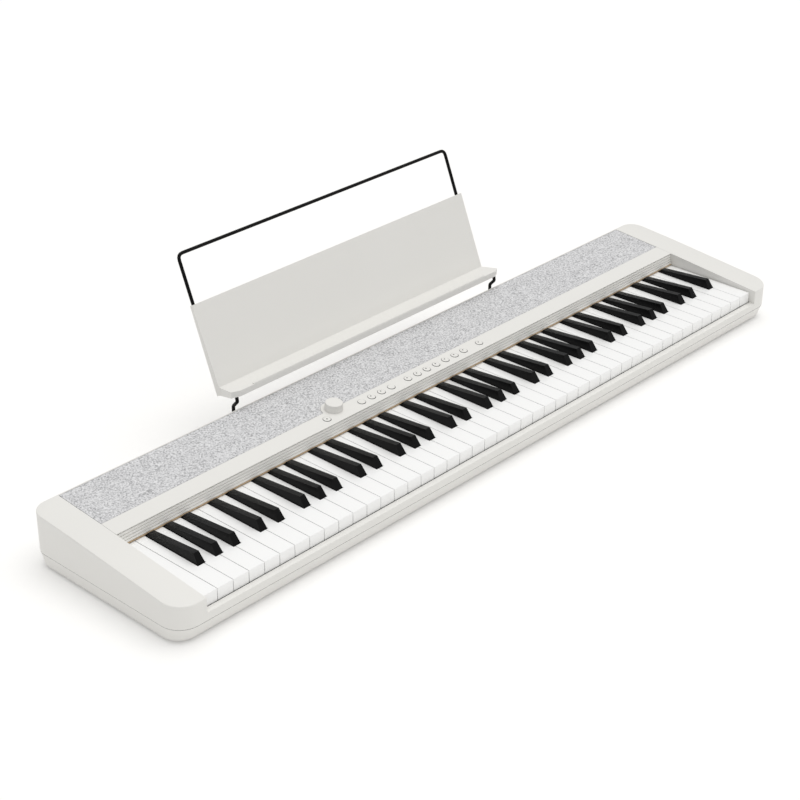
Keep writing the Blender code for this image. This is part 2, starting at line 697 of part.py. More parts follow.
def buttons():
    """Thirteen round caps, each with a flange that keeps it under the strip."""
    under = STRIP_THICKNESS + GAP
    bottom = -under - BUTTON_FLANGE
    flange = BUTTON_RADIUS + 1.1 * MM
    profile = [(0, bottom), (flange, bottom), (flange, -under), (BUTTON_RADIUS, -under),
               (BUTTON_RADIUS, BUTTON_PROUD - 0.4 * MM), (BUTTON_RADIUS - 0.4 * MM, BUTTON_PROUD), (0, BUTTON_PROUD)]
    for name, x in button_places():
        centre = on_strip(x, BUTTON_DEPTH)
        cap = place(turned(name, profile, 24), centre, SLOPE_ANGLE)
        node(cap, case_plastic(), origin=centre, smooth=True)


def volume_dial():
    """The turning cap of the volume control, on its shaft."""
    bore = SHAFT_RADIUS + SHAFT_CLEARANCE
    crown = DIAL_RADIUS - DIAL_TAPER
    profile = [(0, 7.5 * MM), (bore, 7.5 * MM), (bore, GAP), (DIAL_RADIUS, GAP),
               (crown, DIAL_HEIGHT - 0.8 * MM), (crown - 0.8 * MM, DIAL_HEIGHT), (0, DIAL_HEIGHT)]
    centre = on_strip(DIAL_X, DIAL_DEPTH)
    dial = place(turned("volume_dial", profile, 40), centre, SLOPE_ANGLE)
    return node(dial, case_plastic(), origin=centre, smooth=True)


def volume_pot():
    """The potentiometer under the strip, with the shaft that the dial turns on."""
    under = -STRIP_THICKNESS - 2 * GAP
    body = cylinder("volume_pot", SHAFT_RADIUS, under - 3 * MM, 7.5 * MM - GAP)
    grow(body, block("can", (-6 * MM, -6 * MM, under - 7 * MM), (6 * MM, 6 * MM, under)))
    place(body, on_strip(DIAL_X, DIAL_DEPTH), SLOPE_ANGLE)
    return node(body, material("steel", (0.55, 0.55, 0.56), 0.35, 1.0), smooth=True)


def panel_board():
    """The circuit board behind the buttons, parallel to the strip."""
    top = -STRIP_THICKNESS - BUTTON_FLANGE - BUTTON_TRAVEL - 3 * GAP
    low_x = POWER_X - 14 * MM
    high_x = SONG_BUTTON_X + 100 * MM
    board = block("panel_board", (low_x, -8.5 * MM, top - BOARD_THICKNESS), (high_x, 5 * MM, top))
    place(board, on_strip(0, BUTTON_DEPTH), SLOPE_ANGLE)
    return node(board, board_laminate())


# ---------------------------------------------------------------- speakers, cloth and electronics

def collar_tool(extra):
    """A round cutter that clears the strip's collar."""
    tool = cylinder("collar_tool", COLLAR_RADIUS + extra, -8 * MM, 8 * MM, 48)
    return place(tool, on_strip(DIAL_X, DIAL_DEPTH), SLOPE_ANGLE)


def speaker_centre():
    """Middle of the space between the key hinge and the back wall."""
    return (PEDESTAL_REAR + CAVITY_REAR) / 2


def speaker_cloth():
    """Woven cloth stretched over the grille, flush with the case."""
    cloth = under_surface("speaker_cloth", GRILLE_FRONT + GAP / 2, CAVITY_REAR - GAP, 0.1 * MM, CLOTH_THICKNESS,
                          OPENING_HALF - 2 * GAP)
    cut(cloth, collar_tool(GAP))
    return node(cloth, material("cloth", (0.55, 0.55, 0.56), 0.95))


def speaker_grille():
    """The stiff frame under the cloth, open over the two speakers."""
    body = under_surface("speaker_grille", GRILLE_FRONT + GAP, CAVITY_REAR - GAP, 0.1 * MM + CLOTH_THICKNESS + GAP,
                         GRILLE_THICKNESS, OPENING_HALF - 2 * GAP)
    cut(body, collar_tool(1 * MM))
    speaker_x = OPENING_HALF - SPEAKER_FROM_END
    for side in (-1, 1):
        mouth = cylinder("mouth", 0.5, -1, 1, 32)
        mouth.data.transform(Matrix.Diagonal((SPEAKER_SIZE[0] - 12 * MM, SPEAKER_SIZE[1] - 12 * MM, 1, 1)))
        cut(body, place(mouth, (side * speaker_x, speaker_centre(), 0)))
    return node(body, black_plastic())


def speakers():
    """Two oval drivers: a rim, a tapering basket and a round magnet."""
    y = speaker_centre()
    rim = top_height(y - SPEAKER_SIZE[1] / 2) - CLOTH_THICKNESS - GRILLE_THICKNESS - 3 * GAP
    cone = rim - SPEAKER_DEPTH
    for name, side in (("speaker_left", -1), ("speaker_right", 1)):
        profile = [(0, rim - 8 * MM), (0.34, rim - 3 * MM), (0.42, rim), (0.5, rim), (0.5, rim - 3 * MM),
                   (0.44, rim - 3 * MM), (0.3, cone + 12 * MM), (0, cone + 12 * MM)]
        body = turned(name, profile, 32)
        body.data.transform(Matrix.Diagonal((SPEAKER_SIZE[0], SPEAKER_SIZE[1], 1, 1)))
        grow(body, cylinder("magnet", MAGNET_RADIUS, cone, cone + 14 * MM, 24))
        place(body, (side * (OPENING_HALF - SPEAKER_FROM_END), y, 0))
        node(body, black_plastic(), smooth=True)


def main_board():
    """The sound and power board on the floor of the case."""
    low = WALL + 9 * MM
    board = block("main_board", (JACK_BLOCK_X - 95 * MM, PEDESTAL_REAR + 5 * MM, low),
                  (JACK_BLOCK_X + 95 * MM, CAVITY_REAR - 8 * MM, low + BOARD_THICKNESS))
    return node(board, board_laminate())


def jack_block():
    """The row of sockets in the back wall: power, pedal, headphones, audio in and data."""
    wide, deep, tall = JACK_BLOCK
    face = CASE_REAR - 0.6 * MM
    low = (JACK_BLOCK_X - wide / 2, face - deep, JACK_BLOCK_BOTTOM)
    body = block("jack_block", low, (low[0] + wide, face, low[2] + tall))
    middle = JACK_BLOCK_BOTTOM + tall / 2
    for x, radius in JACKS:
        bore = cylinder("bore", radius, -1 * MM, JACK_BORE_DEPTH, 16)
        cut(body, place(bore, (x, face, middle), math.radians(90)))
    cut(body, block("data", (USB_X - USB_SIZE[0] / 2, face - JACK_BORE_DEPTH, middle - USB_SIZE[1] / 2),
                    (USB_X + USB_SIZE[0] / 2, face + 1 * MM, middle + USB_SIZE[1] / 2)))
    return node(body, black_plastic(), smooth=True)


# ---------------------------------------------------------------- music rest

def shelf_fall():
    """How much the shelf falls for each metre towards the back."""
    (shelf_y, shelf_z), (foot_y, foot_z) = from_rear(SHELF_FRONT), from_rear(REST_FOOT)
    return (shelf_z - foot_z) / (foot_y - shelf_y)


def shelf_ceiling(y):
    """Height of the roof of the channel that the wire runs in under the shelf."""
    shelf_y, shelf_z = from_rear(SHELF_FRONT)
    return shelf_z - shelf_fall() * (y - shelf_y) - SHELF_SKIN


def wire_outline():
    """Half of the wire from its foot to the middle of the top bar, as corner points and bends."""
    top_y, top_z = from_rear(WIRE_TOP)
    lowered = WIRE_RADIUS + WIRE_CLEARANCE
    front = LEG_Y - LEG_FORWARD
    inlet = front + LEG_LEAN
    under = shelf_ceiling(inlet) - lowered
    crank = under - SHELF_BEND - 3 * CRANK_BEND
    heel_y = (top_y - WIRE_SLOPE * (top_z - shelf_ceiling(0.0) + lowered)) / (1 + WIRE_SLOPE * shelf_fall())
    return [((WIRE_HALF_WIDTH, LEG_Y, SOCKET_TOP - SOCKET_BORE_DEPTH + GAP), 0),
            ((WIRE_HALF_WIDTH, LEG_Y, crank - CRANK_RISE), CRANK_BEND),
            ((WIRE_HALF_WIDTH, front, crank), CRANK_BEND),
            ((WIRE_HALF_WIDTH, inlet, under), SHELF_BEND),
            ((WIRE_HALF_WIDTH, heel_y, shelf_ceiling(heel_y) - lowered), HEEL_BEND),
            ((WIRE_HALF_WIDTH, top_y, top_z), WIRE_BEND)]


def rounded_path(corners, steps=4):
    """Points along straight runs joined by smooth bends at the corners."""
    path = []
    for number, (corner, bend) in enumerate(corners):
        here = Vector(corner)
        if bend == 0 or number == 0 or number == len(corners) - 1:
            path.append(here)
            continue
        before = (Vector(corners[number - 1][0]) - here).normalized() * bend
        after = (Vector(corners[number + 1][0]) - here).normalized() * bend
        for step in range(steps + 1):
            t = step / steps
            path.append(here + before * (1 - t) ** 2 + after * t ** 2)
    return path


def music_rest_wire():
    """One bent steel wire: two cranked legs and a wide bow over the plate."""
    half = wire_outline()
    mirrored = [((-x, y, z), bend) for (x, y, z), bend in reversed(half)]
    path = rounded_path(half + mirrored)
    curve = bpy.data.curves.new("wire", "CURVE")
    curve.dimensions = "3D"
    curve.bevel_depth = WIRE_RADIUS
    curve.bevel_resolution = 6
    curve.use_fill_caps = True
    line = curve.splines.new("POLY")
    line.points.add(len(path) - 1)
    for point, spot in zip(line.points, path):
        point.co = (*spot, 1.0)
    bent = bpy.data.objects.new("wire", curve)
    tools.objects.link(bent)
    graph = bpy.context.evaluated_depsgraph_get()
    cage = bmesh.new()
    cage.from_mesh(bpy.data.meshes.new_from_object(bent.evaluated_get(graph)))
    bmesh.ops.remove_doubles(cage, verts=cage.verts, dist=0.01 * MM)
    bpy.data.objects.remove(bent)
    wire = solid("music_rest_wire", cage)
    origin = (0, LEG_Y, SOCKET_TOP)
    return node(wire, material("black_wire", (0.01, 0.01, 0.01), 0.3), origin=origin, smooth=True)


def shelf_outline():
    """The shelf from above, with its front corners taken off."""
    foot_half = REST_FOOT_SECTION[0]
    right = [(SHELF_FRONT_HALF, from_rear(SHELF_FRONT)[0]), (SHELF_SIDE[0], CASE_REAR + SHELF_SIDE[1]),
             (foot_half - 0.5 * MM, from_rear(REST_FOOT)[0] + SHELF_REAR_LAP)]
    left = [(-x, y) for x, y in reversed(right)]
    return right + left


def plate_section(front_half, rear_half, rim_depth):
    """The plate from above: a thin sheet whose two sides turn back and flare outwards."""
    right = [(front_half, 0), (rear_half, rim_depth), (rear_half - REST_RIM_WIDTH, rim_depth),
             (front_half - REST_RIM_WIDTH, REST_SHEET)]
    return right + [(-x, y) for x, y in reversed(right)]


def wire_channel(side):
    """The open channel under one end of the shelf, round in front, that the wire lies in."""
    x = side * WIRE_HALF_WIDTH
    reach = WIRE_RADIUS + WIRE_CLEARANCE
    inlet = LEG_Y - LEG_FORWARD + LEG_LEAN
    rear = from_rear(REST_FOOT)[0] + 4 * MM
    profile = [(inlet, shelf_ceiling(inlet)), (rear, shelf_ceiling(rear)), (rear, SOCKET_TOP), (inlet, SOCKET_TOP)]
    slot = extruded("slot", profile, "X", x - reach, x + reach)
    mouth = cylinder("mouth", reach, SOCKET_TOP, shelf_ceiling(inlet))
    return slot, place(mouth, (x, inlet, 0))


def music_rest_plate():
    """The moulded plate with tapering sides and a wedge-shaped shelf for the sheet music."""
    (shelf_y, shelf_z), (foot_y, foot_z) = from_rear(SHELF_FRONT), from_rear(REST_FOOT)
    rise = Vector((REST_TOP[0] - REST_FOOT[0], REST_TOP[1] - REST_FOOT[1]))
    plate = loft("music_rest_plate", plate_section(*REST_FOOT_SECTION), -REST_ROOT,
                 plate_section(*REST_TOP_SECTION), rise.length)
    place(plate, (0, foot_y, foot_z), -math.atan2(rise.x, rise.y))

    front_thick, rear_thick = SHELF_THICKNESS
    thicker = (rear_thick - front_thick) / (foot_y - shelf_y)
    ends = (shelf_y - 5 * MM, foot_y + 20 * MM)
    upper = [(y, shelf_z - shelf_fall() * (y - shelf_y)) for y in ends]
    lower = [(y, z - front_thick - thicker * (y - shelf_y)) for y, z in reversed(upper)]
    shelf = extruded("shelf", shelf_outline(), "Z", foot_z - 30 * MM, foot_z + 30 * MM)
    carve(shelf, extruded("slab", upper + lower, "X", -0.5, 0.5), "INTERSECT")
    lip_half, deep, tall = SHELF_LIP
    front = shelf_y + SHELF_LIP_INSET
    lip = block("lip", (-lip_half, front, shelf_z - 2 * MM), (lip_half, front + deep, shelf_z + tall))
    grow(shelf, lip)
    grow(plate, shelf)
    cut(plate, *wire_channel(-1), *wire_channel(1))
    return node(plate, case_plastic(), origin=(0, LEG_Y, SOCKET_TOP))


def rest_sockets():
    """Two moulded sockets on the back wall that hold the legs of the wire."""
    wide, deep, tall = SOCKET_SIZE
    for name, side in (("rest_socket_left", -1), ("rest_socket_right", 1)):
        x = side * WIRE_HALF_WIDTH
        body = block(name, (x - wide / 2, CASE_REAR + GAP, SOCKET_TOP - tall), (x + wide / 2, CASE_REAR + GAP + deep, SOCKET_TOP))
        bore = cylinder("bore", WIRE_RADIUS + WIRE_CLEARANCE, -SOCKET_BORE_DEPTH, 5 * MM, 16)
        cut(body, place(bore, (x, LEG_Y, SOCKET_TOP)))
        node(body, case_plastic(), smooth=True)


upper_case()
lower_case()
battery_door()
feet()
keys()
key_chassis()
contact_board()
control_panel()
rib_trim()
key_felt()
buttons()
volume_dial()
volume_pot()
panel_board()
speaker_cloth()
speaker_grille()
speakers()
main_board()
jack_block()
music_rest_wire()
music_rest_plate()
rest_sockets()
bpy.context.view_layer.update()
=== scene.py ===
"""Slim digital piano in warm white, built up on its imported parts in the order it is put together."""
import math

import bmesh
import bpy
from mathutils import Matrix, Vector


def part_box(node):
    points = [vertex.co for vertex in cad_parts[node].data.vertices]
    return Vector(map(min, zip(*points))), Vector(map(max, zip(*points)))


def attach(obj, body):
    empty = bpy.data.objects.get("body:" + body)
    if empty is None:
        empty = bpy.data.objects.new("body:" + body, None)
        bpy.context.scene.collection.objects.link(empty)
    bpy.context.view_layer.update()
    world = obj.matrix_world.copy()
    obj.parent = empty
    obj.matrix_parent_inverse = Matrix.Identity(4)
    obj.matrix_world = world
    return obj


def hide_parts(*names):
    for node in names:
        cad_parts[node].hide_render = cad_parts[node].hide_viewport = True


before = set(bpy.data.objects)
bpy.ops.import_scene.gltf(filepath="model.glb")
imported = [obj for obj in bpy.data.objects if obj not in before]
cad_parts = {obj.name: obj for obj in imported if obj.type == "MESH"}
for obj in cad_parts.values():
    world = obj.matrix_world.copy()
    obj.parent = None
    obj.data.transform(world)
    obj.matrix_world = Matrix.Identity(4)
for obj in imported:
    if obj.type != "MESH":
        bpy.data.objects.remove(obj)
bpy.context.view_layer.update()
MM = 0.001

# ------------------------------------------------------------------ table, light and camera
# The piano lies on a seamless pale table under one broad overhead light.  The walls of the
# studio are white too, so every side gets light back and only the contact line is dark.
scene = bpy.context.scene
scene.view_settings.view_transform = "Standard"

table_cage = bmesh.new()
bmesh.ops.create_grid(table_cage, x_segments=1, y_segments=1, size=12.0)
table_mesh = bpy.data.meshes.new("studio_table")
table_cage.to_mesh(table_mesh)
table_cage.free()
table = bpy.data.objects.new("studio_table", table_mesh)
scene.collection.objects.link(table)

paper = bpy.data.materials.new("seamless_paper")
paper.use_nodes = True
paper_shader = paper.node_tree.nodes["Principled BSDF"]
paper_shader.inputs["Base Color"].default_value = (0.90, 0.895, 0.885, 1.0)
paper_shader.inputs["Roughness"].default_value = 0.9
paper_shader.inputs["Emission Color"].default_value = (1.0, 1.0, 1.0, 1.0)
paper_shader.inputs["Emission Strength"].default_value = 0.11
table_mesh.materials.append(paper)

studio = bpy.data.worlds.new("white_studio")
studio.use_nodes = True
studio.node_tree.nodes["Background"].inputs["Color"].default_value = (1.0, 1.0, 1.0, 1.0)
studio.node_tree.nodes["Background"].inputs["Strength"].default_value = 0.62
scene.world = studio

overhead = bpy.data.lights.new("overhead", "SUN")
overhead.energy = 1.30
overhead.angle = math.radians(62)
overhead.color = (1.0, 0.995, 0.98)
overhead_light = bpy.data.objects.new("overhead", overhead)
overhead_light.rotation_euler = (math.radians(3), math.radians(11), 0.0)
scene.collection.objects.link(overhead_light)

eye = bpy.data.cameras.new("eye")
eye.sensor_width = 36.0
eye.lens = 83.17
eye.clip_start = 0.05
eye_place = bpy.data.objects.new("eye", eye)
heading = Matrix.Rotation(math.radians(-47.24), 4, "Z")
pitch_down = Matrix.Rotation(math.radians(90.0 - 28.57), 4, "X")
roll = Matrix.Rotation(math.radians(0.25), 4, "Z")
eye_place.matrix_world = Matrix.Translation((-1.5998, -1.44955, 1.1910)) @ heading @ pitch_down @ roll
scene.collection.objects.link(eye_place)
scene.camera = eye_place

# ------------------------------------------------------------------ lower case
# A shallow tray moulded in warm white ABS with a fine spark-eroded grain.  It tapers in to the
# floor, and meets the upper case at a thin shadow line that runs round the whole instrument.


def grain_group():
    """Fine moulding grain with slow drift in tone: puts out a height and a tint."""
    group = bpy.data.node_groups.new("moulded_grain", "ShaderNodeTree")
    for name, value in (("Grain Scale", 2200.0), ("Drift", 0.03), ("Contrast", 1.0)):
        made = group.interface.new_socket(name, in_out="INPUT", socket_type="NodeSocketFloat")
        made.default_value = value
    group.interface.new_socket("Tint In", in_out="INPUT", socket_type="NodeSocketColor")
    group.interface.new_socket("Height", in_out="OUTPUT", socket_type="NodeSocketFloat")
    group.interface.new_socket("Tint", in_out="OUTPUT", socket_type="NodeSocketColor")
    group.interface.new_socket("Gloss", in_out="OUTPUT", socket_type="NodeSocketFloat")
    nodes, links = group.nodes, group.links
    given = nodes.new("NodeGroupInput")
    result = nodes.new("NodeGroupOutput")
    place = nodes.new("ShaderNodeTexCoord")
    pits = nodes.new("ShaderNodeTexNoise")
    pits.inputs["Detail"].default_value = 3.0
    pits.inputs["Roughness"].default_value = 0.6
    slow = nodes.new("ShaderNodeTexNoise")
    slow.inputs["Scale"].default_value = 9.0
    slow.inputs["Detail"].default_value = 2.0
    links.new(place.outputs["Object"], pits.inputs["Vector"])
    links.new(place.outputs["Object"], slow.inputs["Vector"])
    links.new(given.outputs["Grain Scale"], pits.inputs["Scale"])
    links.new(pits.outputs["Fac"], result.inputs["Height"])
    centred = nodes.new("ShaderNodeMath")
    centred.operation = "SUBTRACT"
    centred.inputs[1].default_value = 0.5
    links.new(slow.outputs["Fac"], centred.inputs[0])
    drifted = nodes.new("ShaderNodeMath")
    drifted.operation = "MULTIPLY_ADD"
    drifted.inputs[2].default_value = 1.0
    links.new(centred.outputs["Value"], drifted.inputs[0])
    links.new(given.outputs["Drift"], drifted.inputs[1])
    tint = nodes.new("ShaderNodeVectorMath")
    tint.operation = "SCALE"
    links.new(given.outputs["Tint In"], tint.inputs[0])
    links.new(drifted.outputs["Value"], tint.inputs["Scale"])
    links.new(tint.outputs["Vector"], result.inputs["Tint"])
    spread = nodes.new("ShaderNodeMath")
    spread.operation = "MULTIPLY_ADD"
    spread.inputs[1].default_value = 0.12
    links.new(pits.outputs["Fac"], spread.inputs[0])
    links.new(given.outputs["Contrast"], spread.inputs[2])
    links.new(spread.outputs["Value"], result.inputs["Gloss"])
    return group


moulded_grain = grain_group()


def moulded(name, color, roughness, scale=2200.0, drift=0.03, depth=0.02, coat=0.0, shine=0.5):
    """A moulded plastic or rubber: grain in the bump, slow drift in the colour."""
    made = bpy.data.materials.new(name)
    made.use_nodes = True
    nodes, links = made.node_tree.nodes, made.node_tree.links
    shader = nodes["Principled BSDF"]
    shader.inputs["Specular IOR Level"].default_value = shine
    shader.inputs["Coat Weight"].default_value = coat
    shader.inputs["Coat Roughness"].default_value = 0.12
    grain = nodes.new("ShaderNodeGroup")
    grain.node_tree = moulded_grain
    grain.inputs["Grain Scale"].default_value = scale
    grain.inputs["Drift"].default_value = drift
    grain.inputs["Contrast"].default_value = roughness - 0.06
    grain.inputs["Tint In"].default_value = (*color, 1.0)
    bump = nodes.new("ShaderNodeBump")
    bump.inputs["Strength"].default_value = 0.6
    bump.inputs["Distance"].default_value = depth * MM
    links.new(grain.outputs["Tint"], shader.inputs["Base Color"])
    links.new(grain.outputs["Gloss"], shader.inputs["Roughness"])
    links.new(grain.outputs["Height"], bump.inputs["Height"])
    links.new(bump.outputs["Normal"], shader.inputs["Normal"])
    return made


def new_piece(name, cage, stuff, body, sharp=38):
    """Turns a finished bmesh into a piece that rides on its body."""
    mesh = bpy.data.meshes.new(name)
    cage.to_mesh(mesh)
    cage.free()
    mesh.materials.append(stuff)
    mesh.shade_smooth()
    mesh.set_sharp_from_angle(angle=math.radians(sharp))
    made = bpy.data.objects.new(name, mesh)
    scene.collection.objects.link(made)
    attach(made, body)
    return made


def softened(node, stuff, body, radius, segments=2, angle=40, sharp=38):
    """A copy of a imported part, welded, with its edges broken as a mould breaks them."""
    cage = bmesh.new()
    cage.from_mesh(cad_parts[node].data)
    bmesh.ops.remove_doubles(cage, verts=cage.verts, dist=0.004 * MM)
    bmesh.ops.dissolve_limit(cage, angle_limit=math.radians(1.0), verts=cage.verts, edges=cage.edges)
    piece = new_piece(node + "_moulding", cage, stuff, body, sharp)
    if radius:
        edge = piece.modifiers.new("edge", "BEVEL")
        edge.width = radius
        edge.segments = segments
        edge.limit_method = "ANGLE"
        edge.angle_limit = math.radians(angle)
        edge.harden_normals = False
    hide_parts(node)
    return piece


def metal(name, color, roughness, scale=2200.0, depth=0.02):
    """Bare or plated metal with the same fine grain as the mouldings."""
    made = moulded(name, color, roughness, scale=scale, depth=depth)
    made.node_tree.nodes["Principled BSDF"].inputs["Metallic"].default_value = 1.0
    return made


def coat_packed(node, stuff):
    """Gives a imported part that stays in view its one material."""
    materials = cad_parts[node].data.materials
    materials.clear()
    materials.append(stuff)


case_white = moulded("warm_white_abs", (0.795, 0.785, 0.755), 0.46)
softened("lower_case", case_white, "case", 0.5 * MM)
softened("battery_door", case_white, "battery_door", 0.3 * MM)

# ------------------------------------------------------------------ feet
# Four discs of black rubber glued into round seats under the corners.  They carry the whole
# instrument 2.5 mm clear of the table and stop it sliding.
foot_rubber = moulded("foot_rubber", (0.035, 0.035, 0.036), 0.8, scale=1200.0, drift=0.2, depth=0.05)
for corner in ("left_front", "right_front", "left_rear", "right_rear"):
    softened("foot_" + corner, foot_rubber, "case", 0.4 * MM)

# ------------------------------------------------------------------ underside screws
# Twelve self-tapping screws hold the two halves of the case together.  Each has a low pan head
# with a cross recess, plated dark, and stands just proud of the tray.


def turned_cage(profile, segments=32):
    """A closed profile of (radius, height) points spun about Z."""
    cage = bmesh.new()
    points = [cage.verts.new((radius, 0.0, height)) for radius, height in profile]
    edges = [cage.edges.new(pair) for pair in zip(points, points[1:])]
    bmesh.ops.spin(cage, geom=points + edges, cent=(0, 0, 0), axis=(0, 0, 1), angle=math.tau,
                   steps=segments, use_merge=True)
    bmesh.ops.remove_doubles(cage, verts=cage.verts, dist=0.004 * MM)
    bmesh.ops.recalc_face_normals(cage, faces=cage.faces)
    return cage


def screw_cage(radius, height):
    """A pan head seen from below: a domed disc whose middle is pressed in as a cross."""
    profile = [(0, 0), (radius, 0), (radius, -0.4 * height), (0.75 * radius, -0.85 * height),
               (0.45 * radius, -height), (0.2 * radius, -height), (0, -height)]
    cage = turned_cage(profile, 16)
    for point in cage.verts:
        reach = math.hypot(point.co.x, point.co.y)
        turn = math.degrees(math.atan2(point.co.y, point.co.x)) % 90
        on_arm = turn < 5 or turn > 85
        if point.co.z < -0.9 * height and (reach < 0.1 * radius or (on_arm and reach < 0.5 * radius)):
            point.co.z += 0.6 * height
    return cage


SCREW_RADIUS, SCREW_HEIGHT = 3.4 * MM, 1.4 * MM
screw_steel = metal("dark_plated_steel", (0.10, 0.10, 0.105), 0.38, scale=900.0, depth=0.01)
tray_low, tray_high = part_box("lower_case")
spots = [(column, row) for row in (0.16, 0.5, 0.84) for column in (0.12, 0.37, 0.63, 0.88)]
for number, (column, row) in enumerate(spots, 1):
    screw = screw_cage(SCREW_RADIUS, SCREW_HEIGHT)
    spot = (tray_low.x + column * (tray_high.x - tray_low.x),
            tray_low.y + row * (tray_high.y - tray_low.y), tray_low.z)
    bmesh.ops.translate(screw, vec=spot, verts=screw.verts)
    new_piece("case_screw_%02d" % number, screw, screw_steel, "case")

# ------------------------------------------------------------------ upper case
# One large moulding in the same warm white: two cheeks, the key slip in front and the back
# wall.  Its outer top edge is crisp, and the edges round the key well are only just broken.
softened("upper_case", case_white, "case", 0.6 * MM)

# ------------------------------------------------------------------ seam shadow
# A thin dark grey band lies between the two halves of the case and shows as a fine line all the way
# round, just back from the walls. It is painted shadow standing in for the shade in the seam, not a
# gasket.
FRONT_CORNER, REAR_CORNER = 28 * MM, 22 * MM
SEAM_SHADOW_OUTER, SEAM_SHADOW_INNER = 0.12 * MM, 1.9 * MM
SEAM_SHADOW_BOTTOM, SEAM_SHADOW_TOP = 20.38 * MM, 21.08 * MM
# Dark grey band material: painted shadow of the seam between the two halves.
seam_shadow_grey = moulded("seam_shadow_grey", (0.16, 0.155, 0.15), 0.7)


def rounded_outline(node, inset):
    """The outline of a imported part's box from above, with the case's corner rounds, pulled in."""
    low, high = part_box(node)
    near, far = FRONT_CORNER - inset, REAR_CORNER - inset
    west, east, south, north = low.x + inset, high.x - inset, low.y + inset, high.y - inset
    rounds = ((east - near, south + near, near, -90), (east - far, north - far, far, 0),
              (west + far, north - far, far, 90), (west + near, south + near, near, 180))
    outline = []
    for x, y, radius, start in rounds:
        for step in range(13):
            angle = math.radians(start + 7.5 * step)
            outline.append((x + radius * math.cos(angle), y + radius * math.sin(angle)))
    return outline


def band_cage(outer, inner, bottom, top):
    """A closed band between two outlines of equally many points."""
    cage = bmesh.new()
    rings = [[cage.verts.new((x, y, z)) for x, y in outline]
             for outline, z in ((outer, bottom), (outer, top), (inner, top), (inner, bottom))]
    count = len(outer)
    for ring, beyond in zip(rings, rings[1:] + rings[:1]):
        for step in range(count):
            onward = (step + 1) % count
            cage.faces.new((ring[step], ring[onward], beyond[onward], beyond[step]))
    bmesh.ops.recalc_face_normals(cage, faces=cage.faces)
    return cage


seam_shadow_band = band_cage(rounded_outline("upper_case", SEAM_SHADOW_OUTER),
                   rounded_outline("upper_case", SEAM_SHADOW_INNER), SEAM_SHADOW_BOTTOM, SEAM_SHADOW_TOP)
new_piece("case_seam_shadow", seam_shadow_band, seam_shadow_grey, "case")

# ------------------------------------------------------------------ key bed and circuit boards
# The key bed and the jack block are black moulded plastic.  The boards are green glass
# laminate with a copper pattern under solder mask.
inner_black = moulded("inner_black", (0.03, 0.03, 0.032), 0.5)
for node in ("key_chassis", "speaker_grille", "speaker_left", "speaker_right", "jack_block"):
    coat_packed(node, inner_black)


def laminate():
    """Green solder mask with faint parallel tracks under it."""
    made = moulded("green_laminate", (0.05, 0.16, 0.08), 0.35, scale=600.0)
    nodes, links = made.node_tree.nodes, made.node_tree.links
    place = nodes.new("ShaderNodeTexCoord")
    tracks = nodes.new("ShaderNodeTexWave")
    tracks.inputs["Scale"].default_value = 120.0
    tracks.inputs["Distortion"].default_value = 4.0
    step = nodes.new("ShaderNodeValToRGB")
    step.color_ramp.elements[0].position = 0.62
    step.color_ramp.elements[0].color = (0.035, 0.13, 0.06, 1.0)
    step.color_ramp.elements[1].position = 0.70
    step.color_ramp.elements[1].color = (0.07, 0.24, 0.11, 1.0)
    links.new(place.outputs["Object"], tracks.inputs["Vector"])
    links.new(tracks.outputs["Fac"], step.inputs["Fac"])
    links.new(step.outputs["Color"], nodes["Principled BSDF"].inputs["Base Color"])
    return made


board_green = laminate()
socket_steel = metal("socket_steel", (0.62, 0.62, 0.63), 0.28, scale=900.0, depth=0.01)
jack_low, jack_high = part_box("jack_block")
sockets = (("power", 18, 3.0), ("pedal", 43, 3.3), ("headphone", 69, 3.3), ("audio", 94, 1.9))
for name, reach, bore in sockets:
    inner, outer, deep = bore * MM, (bore + 1.2) * MM, -0.5 * MM
    ring = turned_cage([(inner, 0.0), (inner, deep), (outer, deep), (outer, 0.0), (inner, 0.0)], 40)
    facing_back = Matrix.Rotation(math.radians(90), 3, "X")
    bmesh.ops.rotate(ring, cent=(0, 0, 0), matrix=facing_back, verts=ring.verts)
    spot = (jack_low.x + reach * MM, jack_high.y, (jack_low.z + jack_high.z) / 2)
    bmesh.ops.translate(ring, vec=spot, verts=ring.verts)
    new_piece(name + "_socket_ring", ring, socket_steel, "case")
for node in ("key_contact_board", "panel_board", "main_board"):
    coat_packed(node, board_green)

# ------------------------------------------------------------------ keys
# White keys are smooth white plastic with softly broken edges; black keys are satin, with a
# rounded crown and leaning sides.  Each comb of keys turns on the hinge line at the back.
white_key = moulded("white_key", (0.96, 0.96, 0.955), 0.24, scale=900.0, drift=0.015, depth=0.004,
                    coat=0.25)
black_key = moulded("black_key", (0.0028, 0.0028, 0.003), 0.34, scale=2600.0, drift=0.2, depth=0.03,
                    shine=0.13)
for node in sorted(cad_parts):
    if not node.startswith("octave_"):
        continue
    if node.endswith("black_keys"):
        softened(node, black_key, node, 1.1 * MM, segments=3, angle=25)
    else:
        softened(node, white_key, node, 0.45 * MM)
